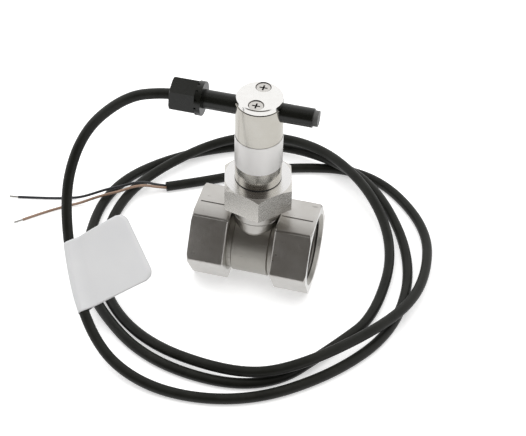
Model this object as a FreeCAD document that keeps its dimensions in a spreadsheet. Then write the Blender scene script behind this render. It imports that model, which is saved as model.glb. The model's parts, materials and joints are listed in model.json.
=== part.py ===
import FreeCAD, Part
import math
import os
import re
import Sketcher
from FreeCAD import Placement, Rotation, Vector

# Paddle flow switch: a cast pipe tee with two G 1 ports, a hexagonal adapter in its branch, and a closed
# housing. The flow swings the paddle, whose magnet works the reed contact in the dry cross tube above it.
# Millimetres. Z = 0 is the face the tee rests on, Z is the branch axis, +X is the flow direction.

DIMENSIONS = (
    ("slip_gap", 0.05, "radial gap of a sliding or running fit"),
    ("seat_gap", 0.03, "gap under parts that are laid or glued in place"),
    # tee
    ("tee_length", 56, "tee, end face to end face"),
    ("tee_flats", 38, "across the flats of the hexagonal ends"),
    ("tee_corner_round", 1.2, "round on the long corners of the ends"),
    ("tee_end_round", 20.5, "radius of the turned end faces"),
    ("tee_gap", 21.7, "space between the two hexagonal ends"),
    ("tee_edge_round", 1.0, "round on the inner edges of the ends"),
    ("waist_width", 16.4, "width of the round waist"),
    ("waist_radius", 16.2, "radius of the round waist"),
    ("valley_depth", 0.8, "depth of the valley on each side of the waist"),
    ("valley_slope", 0.5, "width of the slope from waist to valley"),
    ("port_radius", 15.145, "minor radius of the G 1 thread"),
    ("port_depth", 15, "length of the threaded ports"),
    ("port_mouth", 17, "radius of the port chamfer at the end face"),
    ("passage_radius", 14, "radius of the flow passage"),
    ("boss_radius", 10.65, "radius of the branch boss"),
    ("boss_height", 26.7, "boss top above the pipe axis"),
    ("branch_seal_section", 1.2, "thickness of the seal ring in the boss"),
    ("rib_width", 3, "width of the cast ribs on the top flats"),
    ("rib_height", 0.35, "height of the cast ribs"),
    ("rib_end", 1.6, "distance of the ribs from the end faces"),
    ("pad_width", 14.4, "width of the blank cast pad on the waist"),
    ("pad_rise", 0.7, "height of the blank cast pad"),
    ("pad_arc", 52, "degrees that the cast pad covers"),
    ("pad_turn", 42, "degrees from level front down to the pad's middle"),
    # hexagonal adapter
    ("adapter_flats", 30, "across the flats of the adapter"),
    ("adapter_height", 12.6, "height of the adapter's hexagon"),
    ("adapter_turn", -15, "degrees from +X to the nearest corner"),
    ("adapter_top_round", 15.1, "radius of the adapter's turned top face"),
    ("spigot_radius", 8.33, "radius of the adapter's G 3/8 spigot in the branch"),
    ("spigot_length", 11.5, "length of the adapter's spigot"),
    ("neck_radius", 7.3, "bore that the paddle arm passes through"),
    ("socket_radius", 9.5, "bore that takes the housing"),
    ("socket_depth", 8, "depth of that bore"),
    ("ring_seat_radius", 10.6, "radius of the housing ring's seat"),
    ("ring_seat_depth", 0.7, "depth of the housing ring's seat"),
    ("ring_gap", 0.3, "gap between adapter and housing, filled by the ring"),
    # housing and clamp cap
    ("housing_radius", 10.5, "radius of the housing"),
    ("housing_height", 42.76, "height of the housing above the ring"),
    ("chamber_radius", 8, "bore in which the magnet swings"),
    ("chamber_web", 2.57, "wall between the cross tube's channel and the return magnet"),
    ("foot_chamfer", 0.4, "chamfer at the housing's foot"),
    ("tube_drop", 4.02, "cross tube's axis below the housing's top"),
    ("cap_radius", 10.15, "radius of the clamp cap"),
    ("cap_thickness", 2.59, "thickness of the clamp cap"),
    ("cap_chamfer", 0.35, "chamfer on the cap's top edge"),
    ("screw_spacing", 12.68, "distance between the two cap screws"),
    ("screw_radius", 1.45, "radius of the screw shanks"),
    ("screw_head_radius", 3.05, "radius of the countersunk heads"),
    ("screw_length", 8, "length of the screws with their heads"),
    ("screw_sink", 0.4, "heads below the cap's face"),
    ("recess_radius", 1.25, "size of the cross recess"),
    ("recess_width", 0.55, "width of the cross recess"),
    ("recess_depth", 0.9, "depth of the cross recess"),
    ("label_foot", 9.4, "label's lower edge above the housing's foot"),
    ("label_height", 15.4, "height of the label"),
    ("label_arc", 330, "degrees that the label covers"),
    ("label_thickness", 0.12, "thickness of the label"),
    # cross tube and what it holds
    ("tube_radius", 4.22, "outer radius of the cross tube"),
    ("tube_bore", 3.0, "inner radius of the cross tube"),
    ("tube_left", -27.5, "left end of the cross tube"),
    ("tube_right", 23.8, "right end of the cross tube"),
    ("plug_head_radius", 3.5, "radius of the end plug's head"),
    ("plug_head_length", 2.2, "length of the end plug's head"),
    ("plug_insert_length", 5, "length of the end plug inside the tube"),
    ("board_left", -16, "left end of the reed board"),
    ("board_length", 30, "length of the reed board"),
    ("board_width", 4.8, "width of the reed board"),
    ("board_thickness", 0.8, "thickness of the reed board"),
    ("board_drop", 1.75, "board's underside below the tube's axis"),
    ("capsule_radius", 1.1, "outer radius of the glass capsule"),
    ("capsule_bore", 0.8, "inner radius of the glass capsule"),
    ("capsule_length", 14, "length of the glass capsule"),
    ("capsule_end", 1.5, "length of glass fused round each lead"),
    ("capsule_rise", 0.17, "capsule's axis above the tube's axis"),
    ("lead_radius", 0.25, "radius of the reed leads"),
    ("lead_offset", 0.3, "height of each reed above or below the capsule's axis"),
    ("lead_reach", 9.2, "distance of the bent leads from the middle"),
    ("reed_overlap", 1.6, "length where the two reeds overlap"),
    # cable gland
    ("collar_radius", 7.55, "radius of the gland's collar"),
    ("collar_right", -24.56, "collar's face towards the housing"),
    ("collar_width", 2.74, "width of the collar"),
    ("notch_count", 12, "notches round the collar"),
    ("notch_width", 1, "width of a notch"),
    ("notch_depth", 0.7, "depth of a notch"),
    ("notch_length", 1, "length of a notch along the tube"),
    ("gland_thread_radius", 5.5, "radius of the gland's threaded end"),
    ("gland_left", -35, "left end of the gland's threaded end"),
    ("gland_wall_left", -30.5, "left face of the wall between tube and seal"),
    ("seal_radius", 4.2, "radius of the cable seal"),
    ("seal_length", 5.6, "length of the cable seal"),
    ("nut_flats", 14, "across the flats of the gland nut"),
    ("nut_left", -38.6, "left end of the gland nut"),
    ("nut_right", -27.4, "right end of the gland nut"),
    ("nut_turn", 18, "degrees that the nut is turned past flats level"),
    ("nut_end_round", 7.4, "radius of the nut's turned end face"),
    ("nut_wall", 2.1, "thickness of the nut's end wall"),
    # paddle and its pivot
    ("pivot_drop", 2.3, "pivot axis below the adapter's top"),
    ("rest_lean", 9, "degrees that the paddle leans into the flow at rest"),
    ("flange_radius", 9.4, "radius of the carrier's clamped flange"),
    ("flange_thickness", 1.3, "thickness of the carrier's flange"),
    ("carrier_height", 9.2, "height of the pivot carrier"),
    ("stop_height", 3.1, "height of the carrier's stop slot"),
    ("hub_clearance", 0.2, "room round the lever's hub in the carrier"),
    ("pin_radius", 1, "radius of the pivot pin"),
    ("pin_length", 15.2, "length of the pivot pin"),
    ("hub_radius", 2.3, "radius of the lever's hub"),
    ("hub_length", 5, "length of the lever's hub"),
    ("hub_side_gap", 0.3, "side play of the hub in the carrier"),
    ("arm_thickness", 1.6, "thickness of the lever's arms"),
    ("lower_arm_width", 5, "width of the lever's lower arm"),
    ("lower_arm_reach", 34, "lower arm's end below the pivot"),
    ("upper_arm_width", 3, "width of the lever's upper arm"),
    ("upper_arm_insert", 1.5, "length of the upper arm inside the magnet cup"),
    ("blade_width", 12, "width of the paddle blade"),
    ("blade_thickness", 0.8, "thickness of the paddle blade"),
    ("blade_top", 23.5, "blade's upper edge below the pivot"),
    ("blade_bottom", 47.5, "blade's lower edge below the pivot"),
    ("blade_corner", 3, "corner radius of the blade"),
    ("rivet_first", 26.5, "first rivet below the pivot"),
    ("rivet_pitch", 4.5, "distance between the rivets"),
    ("rivet_radius", 0.8, "radius of the rivet shanks"),
    ("rivet_head_radius", 1.4, "radius of the rivet heads"),
    ("rivet_head_height", 0.6, "height of the rivet heads"),
    ("cup_gap", 0.5, "gap between the upright magnet cup and the chamber's ceiling"),
    ("cup_radius", 2.6, "outer radius of the magnet cup"),
    ("cup_floor", 2, "thickness of the cup's floor"),
    ("magnet_radius", 2, "radius of both magnets"),
    ("magnet_length", 5, "length of the lever's magnet"),
    ("return_magnet_length", 1.9, "length of the fixed return magnet"),
    ("return_magnet_pocket", 2, "depth of its pocket in the chamber's ceiling"),
    ("return_magnet_offset", -5.2, "its distance from the branch axis"),
    # cable, cores and flag
    ("cable_radius", 2.4, "radius of the cable's jacket"),
    ("core_radius", 0.65, "radius of an insulated core"),
    ("core_inset", 0.8, "distance of each core from the cable's axis"),
    ("core_drop", 0.28, "cores below the tube's axis"),
    ("core_end", -13, "inner ends of the cores on the reed board"),
    ("strand_radius", 0.42, "radius of the bare core ends"),
    ("flag_start", 16.9, "flag's first corner along its straight run"),
    ("flag_height", 31.3, "length of the flag along the cable's side"),
    ("flag_short", 30.8, "length of the flag's upper edge"),
    ("flag_skew", 10.2, "degrees that the flag is glued on askew"),
    ("flag_thickness", 0.3, "thickness of the folded flag"),
    ("flag_corner", 4, "corner radius of the flag"),
    ("flag_sleeve_gap", 0.55, "room between the cable and the flag's fold"),
    ("flag_sleeve_length", 27, "length of the flag's fold round the cable"),
)

# Levels above the floor, from the sizes in the sheet.
PIPE_AXIS = "(tee_flats / 2)"
BOSS_TOP = f"({PIPE_AXIS} + boss_height)"
ADAPTER_TOP = f"({BOSS_TOP} + adapter_height)"
CARRIER_FOOT = f"({ADAPTER_TOP} - socket_depth)"
PIVOT = f"({ADAPTER_TOP} - pivot_drop)"
HOUSING_FOOT = f"({ADAPTER_TOP} + ring_gap)"
HOUSING_SPIGOT = "(socket_depth + ring_gap - flange_thickness)"
TUBE_AXIS = f"({HOUSING_FOOT} + housing_height - tube_drop)"
CAP_FOOT = f"({TUBE_AXIS} + tube_radius + slip_gap)"
CEILING = f"({TUBE_AXIS} - tube_radius - slip_gap - chamber_web - return_magnet_pocket)"
BOARD_TOP = f"({TUBE_AXIS} - board_drop + board_thickness)"
CUP_FOOT = f"({CEILING} - {PIVOT} - cup_gap - magnet_length - cup_floor)"
UPPER_ARM_REACH = f"({CUP_FOOT} + upper_arm_insert)"
BRANCH_BORE = "(spigot_radius + slip_gap)"
BRANCH_SEAT = f"({BRANCH_BORE} + branch_seal_section + slip_gap)"

# Centre line of the cable from the gland to the stripped end, laid in two and a half turns on the floor.
CABLE_ROUTE = (
    (-31, 0, 97.34), (-42, 0, 97.34), (-61, -2, 92), (-82, -6, 68), (-84, -28, 42.5),
    (-60.5, -69.5, 9.5), (-28.5, -87, 2.45), (15, -83.5, 2.45), (50, -57.5, 2.45), (72, -24, 2.45),
    (72, 20, 2.45), (49, 58, 8), (22, 75, 8.8), (-16, 86, 2.45), (-59.5, 64, 2.45), (-85.5, 31, 2.45),
    (-81.5, -16.5, 2.45), (-66.5, -44.5, 2.45), (-30, -73, 2.45), (22.5, -75, 2.45), (48.5, -39, 2.45),
    (61, -18.5, 2.45), (62.5, 24, 5), (42, 56, 14), (7.5, 81, 13.5),
    (-34, 80, 9), (-67, 45, 5), (-77.5, 15, 2.45), (-70, -30, 2.45), (-39.5, -62, 4),
    (7, -72, 6.5), (34, -64.5, 9.5), (70.5, -25, 9), (80.5, 7, 5.5), (74.5, 47, 2.45),
    (39.5, 79, 2.45), (-5.5, 69.5, 2.45), (-38.5, 49, 2.45), (-57, 39.5, 2.45),
)
FLAG_RUN = 4  # the flag is on the run that starts at this point of the route

# Centre lines of the two cores beyond the stripped end, over the two turns of cable in their way.
BLACK_ROUTE = (
    (-57.34, 40.17, 2.45), (-61.8, 37.9, 4.1), (-66, 35.6, 6.8), (-71, 32.6, 8),
    (-77, 28.8, 7.3), (-83.5, 25.2, 6.9), (-89.5, 22.9, 4.6), (-96, 21.2, 1.9),
    (-104, 19.6, 0.7), (-114, 17, 0.7), (-126.4, 14.4, 0.7),
)
BROWN_ROUTE = (
    (-56.66, 38.83, 2.45), (-61.2, 36.4, 3.9), (-65.6, 33.6, 6.6), (-70.8, 29.8, 7.9),
    (-76.8, 25.2, 7), (-82.6, 21.6, 6.8), (-88.6, 19.8, 4.4), (-94.6, 17.6, 1.7),
    (-102, 14, 0.7), (-110.6, 7, 0.7), (-118.3, -0.2, 0.7),
)
BLACK_TIP = (-130.7, 13.9, 0.7)
BROWN_TIP = (-121.6, -3.1, 0.7)

doc = FreeCAD.newDocument("PaddleFlowSwitch")
sheet = doc.addObject("Spreadsheet::Sheet", "dims")
for row, (alias, value, meaning) in enumerate(DIMENSIONS, start=1):
    sheet.set(f"A{row}", meaning)
    sheet.set(f"B{row}", str(value))
    sheet.setAlias(f"B{row}", alias)
doc.recompute()
ALIASES = {alias for alias, value, meaning in DIMENSIONS}


# ---- sizes, placing and features ----

def formula(text):
    """Point every size name in the text at its cell in the sheet."""
    return re.sub(r"[a-z_]+", lambda word: f"dims.{word[0]}" if word[0] in ALIASES else word[0], text)


def size(text):
    """The present value of a formula."""
    return float(sheet.evalExpression(formula(text)))


def bind(item, **sizes):
    for name, text in sizes.items():
        item.setExpression(name, formula(text))
    return item


def place(item, x="0", y="0", z="0", axis=None, angle="0"):
    """Bind an item's Placement to formulas, turned by an angle about an axis."""
    rotation = Rotation(axis, size(angle)) if axis else Rotation()
    item.Placement = Placement(Vector(size(x), size(y), size(z)), rotation)
    for direction, text in (("x", x), ("y", y), ("z", z)):
        item.setExpression(f"Placement.Base.{direction}", formula(text))
    if axis:
        item.setExpression("Placement.Rotation.Angle", formula(angle))
    return item


def place_along_x(item, x="0", y="0", z="0"):
    """Lay an item's own Z axis along +X."""
    return place(item, x, y, z, Vector(0, 1, 0), "90")


def new_body(label):
    item = doc.addObject("PartDesign::Body", label)
    item.Label = label
    return item


def new_sketch(body, role, lift="0", turn="0"):
    """A sketch on one of the body's origin planes, lifted along its normal and turned about its X axis."""
    sketch = body.newObject("Sketcher::SketchObject", "Sketch")
    support = [feature for feature in body.Origin.OriginFeatures if feature.Role == role]
    sketch.AttachmentSupport = [(support[0], "")]
    sketch.MapMode = "FlatFace"
    sketch.AttachmentOffset = Placement(Vector(0, 0, size(lift)), Rotation(Vector(1, 0, 0), size(turn)))
    sketch.setExpression("AttachmentOffset.Base.z", formula(lift))
    if turn != "0":
        sketch.setExpression("AttachmentOffset.Rotation.Angle", formula(turn))
    return sketch


def hold(sketch, kind, edge, point, text):
    """Hold one coordinate of a sketch point to a formula."""
    number = sketch.addConstraint(Sketcher.Constraint(kind, -1, 1, edge, point, size(text)))
    sketch.setExpression(f"Constraints[{number}]", formula(text))


def draw_outline(sketch, corners):
    """A closed outline of straight lines through corners given as pairs of formulas."""
    points = [Vector(size(across), size(up), 0) for across, up in corners]
    first = sketch.GeometryCount
    for number, point in enumerate(points):
        sketch.addGeometry(Part.LineSegment(point, points[(number + 1) % len(points)]), False)
    for number, (across, up) in enumerate(corners):
        following = first + (number + 1) % len(corners)
        sketch.addConstraint(Sketcher.Constraint("Coincident", first + number, 2, following, 1))
        hold(sketch, "DistanceX", first + number, 1, across)
        hold(sketch, "DistanceY", first + number, 1, up)
    return sketch


def draw_rectangle(sketch, left, right, bottom, top):
    return draw_outline(sketch, ((left, bottom), (right, bottom), (right, top), (left, top)))


def draw_hexagon(sketch, flats, turn="0"):
    corners = []
    for number in range(6):
        angle = f"({60 * number} + {turn})"
        corners.append((f"{flats} / 2 / cos(30) * cos({angle})", f"{flats} / 2 / cos(30) * sin({angle})"))
    return draw_outline(sketch, corners)


def draw_circle(sketch, radius, across="0", up="0"):
    edge = sketch.addGeometry(Part.Circle(Vector(size(across), size(up), 0), Vector(0, 0, 1), size(radius)))
    number = sketch.addConstraint(Sketcher.Constraint("Radius", edge, size(radius)))
    sketch.setExpression(f"Constraints[{number}]", formula(radius))
    hold(sketch, "DistanceX", edge, 3, across)
    hold(sketch, "DistanceY", edge, 3, up)
    return sketch


def add(body, kind, sketch, **settings):
    """A PartDesign feature made from a sketch; text settings are bound, the others are set."""
    feature = body.newObject(kind, kind.split("::")[1])
    feature.Profile = sketch
    for name, value in settings.items():
        if name in ("Length", "Angle"):
            feature.setExpression(name, formula(value))
        elif name == "ReferenceAxis":
            feature.ReferenceAxis = (sketch, [value])
        else:
            setattr(feature, name, value)
    doc.recompute()
    return feature


def cut(body, kind, sketch, **settings):
    """A feature that must take material away."""
    before = body.Shape.Volume
    feature = add(body, kind, sketch, **settings)
    if body.Shape.Volume > before - 0.01:
        raise ValueError(f"{feature.Name} cuts nothing from {body.Label}")
    return feature


def fillet(body, radius, wanted):
    """Round the edges of the body for which wanted(edge) is true."""
    base = body.Tip
    names = [f"Edge{number}" for number, edge in enumerate(base.Shape.Edges, start=1) if wanted(edge)]
    if not names:
        raise ValueError(f"no edges to round on {body.Label}")
    feature = body.newObject("PartDesign::Fillet", "Fillet")
    feature.Base = (base, names)
    bind(feature, Radius=radius)
    doc.recompute()
    return feature


def turned(label, corners):
    """A body turned about its own Z axis, from corners given as (radius, height)."""
    body = new_body(label)
    sketch = draw_outline(new_sketch(body, "XZ_Plane"), corners)
    add(body, "PartDesign::Revolution", sketch, ReferenceAxis="V_Axis", Angle="360")
    return body


def primitive(kind, label, **sizes):
    item = doc.addObject(f"Part::{kind}", label)
    item.Label = label
    return bind(item, **sizes)


def boolean(kind, label, base, tool):
    item = doc.addObject(f"Part::{kind}", label)
    item.Label = label
    item.Base = base
    item.Tool = tool
    doc.recompute()
    return item


def compound(label, items):
    item = doc.addObject("Part::Compound", label)
    item.Label = label
    item.Links = items
    doc.recompute()
    return item


def name(item, label):
    """Give a finished piece its own label, which names its file."""
    item.Label = label
    return item


def block(label, x, y, z):
    """A box between two formulas along each axis."""
    item = primitive("Box", label, Length=f"({x[1]}) - ({x[0]})", Width=f"({y[1]}) - ({y[0]})",
                     Height=f"({z[1]}) - ({z[0]})")
    return place(item, x[0], y[0], z[0])


# ---- tee ----

def make_tee():
    body = new_body("tee_body")
    place(body, z=PIPE_AXIS)
    hexagon = draw_hexagon(new_sketch(body, "YZ_Plane"), "tee_flats")
    add(body, "PartDesign::Pad", hexagon, Length="tee_length", SideType="Symmetric")
    fillet(body, "tee_corner_round", lambda edge: edge.Length > size("tee_length") - 1)

    ends = new_sketch(body, "XZ_Plane")
    outside = "(tee_flats / 2 / cos(30) + 1)"
    for side in ("", "-"):
        face = f"{side}tee_length / 2"
        back = f"{side}(tee_length / 2 - ({outside} - tee_end_round) * tan(30))"
        draw_outline(ends, ((face, "tee_end_round"), (face, outside), (back, outside)))
    cut(body, "PartDesign::Groove", ends, ReferenceAxis="H_Axis", Angle="360")

    valley = "waist_radius - valley_depth"
    slope = "waist_width / 2 + valley_slope"
    waist = new_sketch(body, "XZ_Plane")
    draw_outline(waist, (
        ("-tee_gap / 2", outside), ("-tee_gap / 2", valley), (f"-({slope})", valley),
        ("-waist_width / 2", "waist_radius"), ("waist_width / 2", "waist_radius"),
        (slope, valley), ("tee_gap / 2", valley), ("tee_gap / 2", outside)))
    cut(body, "PartDesign::Groove", waist, ReferenceAxis="H_Axis", Angle="360")
    inner = size("tee_gap / 2")
    fillet(body, "tee_edge_round", lambda edge: is_block_edge(edge, inner))

    boss = draw_circle(new_sketch(body, "XY_Plane"), "boss_radius")
    add(body, "PartDesign::Pad", boss, Length="boss_height")

    ribs = new_sketch(body, "XY_Plane", lift="tee_flats / 2 - rib_height")
    for side in ("", "-"):
        draw_rectangle(ribs, f"{side}(tee_gap / 2 + tee_edge_round)", f"{side}(tee_length / 2 - rib_end)",
                       "-rib_width / 2", "rib_width / 2")
    add(body, "PartDesign::Pad", ribs, Length="2 * rib_height")

    pad = new_sketch(body, "XZ_Plane", turn="-90 + pad_turn")
    draw_rectangle(pad, "-pad_width / 2", "pad_width / 2", "waist_radius - 1", "waist_radius + pad_rise")
    add(body, "PartDesign::Revolution", pad, ReferenceAxis="H_Axis", Angle="pad_arc", Midplane=True)

    bores = new_sketch(body, "XZ_Plane")
    step = "(tee_length / 2 - port_depth)"
    mouth = "(tee_length / 2 - (port_mouth - port_radius))"
    draw_outline(bores, (
        ("-tee_length / 2", "0"), ("-tee_length / 2", "port_mouth"), (f"-{mouth}", "port_radius"),
        (f"-{step}", "port_radius"), (f"-{step}", "passage_radius"), (step, "passage_radius"),
        (step, "port_radius"), (mouth, "port_radius"), ("tee_length / 2", "port_mouth"),
        ("tee_length / 2", "0")))
    cut(body, "PartDesign::Groove", bores, ReferenceAxis="H_Axis", Angle="360")

    branch = new_sketch(body, "XZ_Plane")
    seat = "boss_height - branch_seal_section"
    draw_outline(branch, (
        ("0", "0"), (BRANCH_BORE, "0"), (BRANCH_BORE, seat), (BRANCH_SEAT, seat),
        (BRANCH_SEAT, "boss_height"), ("0", "boss_height")))
    cut(body, "PartDesign::Groove", branch, ReferenceAxis="V_Axis", Angle="360")
    return body


def is_block_edge(edge, inner):
    """True for the outer edges of the two faces that bound the waist."""
    box = edge.BoundBox
    on_face = box.XLength < 0.001 and abs(abs(box.Center.x) - inner) < 0.001
    off_axis = edge.CenterOfMass.sub(Vector(edge.CenterOfMass.x, 0, 0)).Length
    return on_face and off_axis > size("tee_flats / 4")


def make_ring(label, middle, section):
    """A seal ring about Z, pressed in its seat to an eight-sided section."""
    corners = []
    for number in range(8):
        angle = f"({45 * number} + 22.5)"
        corners.append((f"{middle} + {section} / 2 / cos(22.5) * cos({angle})",
                        f"{section} / 2 / cos(22.5) * sin({angle})"))
    return turned(label, corners)


def make_branch_seal():
    ring = make_ring("branch_o_ring", f"({BRANCH_SEAT} - slip_gap / 2 - branch_seal_section / 2)",
                     "branch_seal_section")
    return place(ring, z=f"{BOSS_TOP} - branch_seal_section / 2")


# ---- adapter, housing and cap ----

def make_adapter():
    body = new_body("hex_adapter")
    place(body, z=BOSS_TOP)
    hexagon = draw_hexagon(new_sketch(body, "XY_Plane"), "adapter_flats", "adapter_turn")
    add(body, "PartDesign::Pad", hexagon, Length="adapter_height")
    top = new_sketch(body, "XZ_Plane")
    outside = "(adapter_flats / 2 / cos(30) + 1)"
    draw_outline(top, (
        ("adapter_top_round", "adapter_height"), (outside, "adapter_height"),
        (outside, f"adapter_height - ({outside} - adapter_top_round) * tan(30)")))
    cut(body, "PartDesign::Groove", top, ReferenceAxis="V_Axis", Angle="360")
    spigot = draw_circle(new_sketch(body, "XY_Plane"), "spigot_radius")
    add(body, "PartDesign::Pad", spigot, Length="spigot_length", Reversed=True)
    bore = new_sketch(body, "XZ_Plane")
    floor = "adapter_height - socket_depth"
    seat = "adapter_height - ring_seat_depth"
    draw_outline(bore, (
        ("0", "-spigot_length"), ("neck_radius", "-spigot_length"), ("neck_radius", floor),
        ("socket_radius", floor), ("socket_radius", seat), ("ring_seat_radius", seat),
        ("ring_seat_radius", "adapter_height"), ("0", "adapter_height")))
    cut(body, "PartDesign::Groove", bore, ReferenceAxis="V_Axis", Angle="360")
    return body


def make_housing_ring():
    section = "(ring_seat_depth + ring_gap)"
    ring = make_ring("housing_o_ring", f"(ring_seat_radius - {section} / 2 - slip_gap * 2)", section)
    return place(ring, z=f"{ADAPTER_TOP} - ring_seat_depth + {section} / 2")


def make_housing():
    spigot = "socket_radius - slip_gap"
    ceiling = f"({CEILING} - {HOUSING_FOOT})"
    body = turned("switch_housing", (
        ("chamber_radius", f"-{HOUSING_SPIGOT}"), (spigot, f"-{HOUSING_SPIGOT}"), (spigot, "0"),
        ("housing_radius - foot_chamfer", "0"), ("housing_radius", "foot_chamfer"),
        ("housing_radius", "housing_height"), ("0", "housing_height"), ("0", ceiling),
        ("chamber_radius", ceiling)))
    place(body, z=HOUSING_FOOT)

    # The tube lies in a channel that is open at the top, so that the cap can clamp it.
    axis = "(housing_height - tube_drop)"
    channel = "(tube_radius + slip_gap)"
    trough = draw_circle(new_sketch(body, "YZ_Plane"), channel, up=axis)
    cut(body, "PartDesign::Pocket", trough, Length="4 * housing_radius", SideType="Symmetric")
    mouth = new_sketch(body, "YZ_Plane")
    draw_rectangle(mouth, f"-{channel}", channel, axis, "housing_height + 1")
    cut(body, "PartDesign::Pocket", mouth, Length="4 * housing_radius", SideType="Symmetric")

    threads = new_sketch(body, "XY_Plane", lift="housing_height")
    for side in ("", "-"):
        draw_circle(threads, "screw_radius + slip_gap", up=f"{side}screw_spacing / 2")
    cut(body, "PartDesign::Pocket", threads, Length="screw_length")

    pocket = draw_circle(new_sketch(body, "XY_Plane", lift=ceiling), "magnet_radius + slip_gap",
                         across="return_magnet_offset")
    cut(body, "PartDesign::Pocket", pocket, Length="return_magnet_pocket", Reversed=True)
    return body


def make_cap():
    body = turned("cap_blank", (
        ("0", "0"), ("cap_radius", "0"), ("cap_radius", "cap_thickness - cap_chamfer"),
        ("cap_radius - cap_chamfer", "cap_thickness"), ("0", "cap_thickness")))
    place(body, z=CAP_FOOT)
    holes = new_sketch(body, "XY_Plane", lift="cap_thickness")
    for side in ("", "-"):
        draw_circle(holes, "screw_radius + 3 * slip_gap", up=f"{side}screw_spacing / 2")
    cut(body, "PartDesign::Pocket", holes, Length="cap_thickness")
    result = body
    mouth = "(screw_head_radius + screw_sink + seat_gap)"
    for side in ("", "-"):
        sink = primitive("Cone", "countersink", Radius1="0", Radius2=mouth, Height=mouth)
        place(sink, y=f"{side}screw_spacing / 2", z=f"{CAP_FOOT} + cap_thickness - {mouth}")
        result = boolean("Cut", "sunk_cap", result, sink)
    return name(result, "clamp_cap")


def make_cap_screws():
    """Two countersunk screws with a cross recess."""
    screws = []
    for side in ("", "-"):
        screw = turned("cap_screw", (
            ("0", "0"), ("screw_head_radius", "0"), ("screw_radius", "screw_radius - screw_head_radius"),
            ("screw_radius", "-screw_length"), ("0", "-screw_length")))
        top = f"{CAP_FOOT} + cap_thickness - screw_sink"
        place(screw, y=f"{side}screw_spacing / 2", z=top)
        cross = new_sketch(screw, "XY_Plane")
        wide = "recess_radius"
        thin = "recess_width / 2"
        draw_outline(cross, (
            (wide, f"-{thin}"), (wide, thin), (thin, thin), (thin, wide), (f"-{thin}", wide),
            (f"-{thin}", thin), (f"-{wide}", thin), (f"-{wide}", f"-{thin}"), (f"-{thin}", f"-{thin}"),
            (f"-{thin}", f"-{wide}"), (thin, f"-{wide}"), (thin, f"-{thin}")))
        cut(screw, "PartDesign::Pocket", cross, Length="recess_depth")
        screws.append(screw)
    return compound("cap_screws", screws)


def make_label():
    """The bare label, wrapped round the housing with its open joint at the back."""
    body = new_body("type_label")
    sketch = new_sketch(body, "XZ_Plane")
    inside = "housing_radius + seat_gap * 2"
    draw_rectangle(sketch, inside, f"{inside} + label_thickness", "0", "label_height")
    add(body, "PartDesign::Revolution", sketch, ReferenceAxis="V_Axis", Angle="label_arc", Midplane=True)
    return place(body, z=f"{HOUSING_FOOT} + label_foot", axis=Vector(0, 0, 1), angle="-90")


# ---- pivot and paddle ----

def make_carrier():
    body = turned("pivot_carrier", (
        ("0", "0"), ("flange_radius", "0"), ("flange_radius", "flange_thickness"),
        ("chamber_radius - slip_gap", "flange_thickness"), ("chamber_radius - slip_gap", "carrier_height"),
        ("0", "carrier_height")))
    place(body, z=CARRIER_FOOT)
    half_width = "(hub_length / 2 + hub_side_gap)"
    room = "(hub_radius + hub_clearance)"
    slot = new_sketch(body, "XY_Plane", lift="carrier_height")
    draw_rectangle(slot, f"-{room}", room, f"-{half_width}", half_width)
    cut(body, "PartDesign::Pocket", slot, Length="carrier_height - stop_height")

    # The lower edges of this slot stop the lever at both ends of its swing.
    drop = "(socket_depth - pivot_drop)"
    stop = f"({drop} * tan(rest_lean) + arm_thickness / 2 / cos(rest_lean) + slip_gap)"
    stops = new_sketch(body, "XY_Plane", lift="stop_height")
    draw_rectangle(stops, f"-{stop}", stop, f"-{half_width}", half_width)
    cut(body, "PartDesign::Pocket", stops, Length="stop_height")

    pin = draw_circle(new_sketch(body, "XZ_Plane"), "pin_radius", up=drop)
    cut(body, "PartDesign::Pocket", pin, Length="4 * chamber_radius", SideType="Symmetric")
    return body


def make_pin():
    pin = primitive("Cylinder", "pivot_pin", Radius="pin_radius", Height="pin_length")
    return place(pin, y="pin_length / 2", z=PIVOT, axis=Vector(1, 0, 0), angle="90")


def along_y(item, y, z="0"):
    return place(item, y=y, z=z, axis=Vector(1, 0, 0), angle="90")


def place_on_pivot(item):
    """Paddle pieces are drawn upright about the pivot and lean into the flow at rest."""
    return place(item, z=PIVOT, axis=Vector(0, 1, 0), angle="rest_lean")


def make_lever():
    half = "arm_thickness / 2"
    hub = along_y(primitive("Cylinder", "hub", Radius="hub_radius", Height="hub_length"), "hub_length / 2")
    lower = block("lower_arm", (f"-{half}", half), ("-lower_arm_width / 2", "lower_arm_width / 2"),
                  ("-lower_arm_reach", "0"))
    upper = block("upper_arm", (f"-{half}", half), ("-upper_arm_width / 2", "upper_arm_width / 2"),
                  ("0", UPPER_ARM_REACH))
    arms = boolean("Fuse", "arms", lower, upper)
    solid = boolean("Fuse", "lever_blank", arms, hub)
    bore = primitive("Cylinder", "lever_bore", Radius="pin_radius + slip_gap", Height="2 * hub_length")
    lever = boolean("Cut", "bored_lever", solid, along_y(bore, "hub_length"))
    for number in range(2):
        lever = boolean("Cut", "drilled_lever", lever, rivet_shank(number, "rivet_hole", "seat_gap"))
    return place_on_pivot(name(lever, "paddle_lever"))


def rivet_shank(number, label, gap="0"):
    """One rivet's shank, or its hole when there is a gap, through blade and arm."""
    shank = primitive("Cylinder", label, Radius=f"rivet_radius + {gap}",
                      Height=f"arm_thickness + blade_thickness + 2 * {gap}")
    return place_along_x(shank, f"-arm_thickness / 2 - blade_thickness - {gap}",
                         z=f"-rivet_first - {number} * rivet_pitch")


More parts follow.
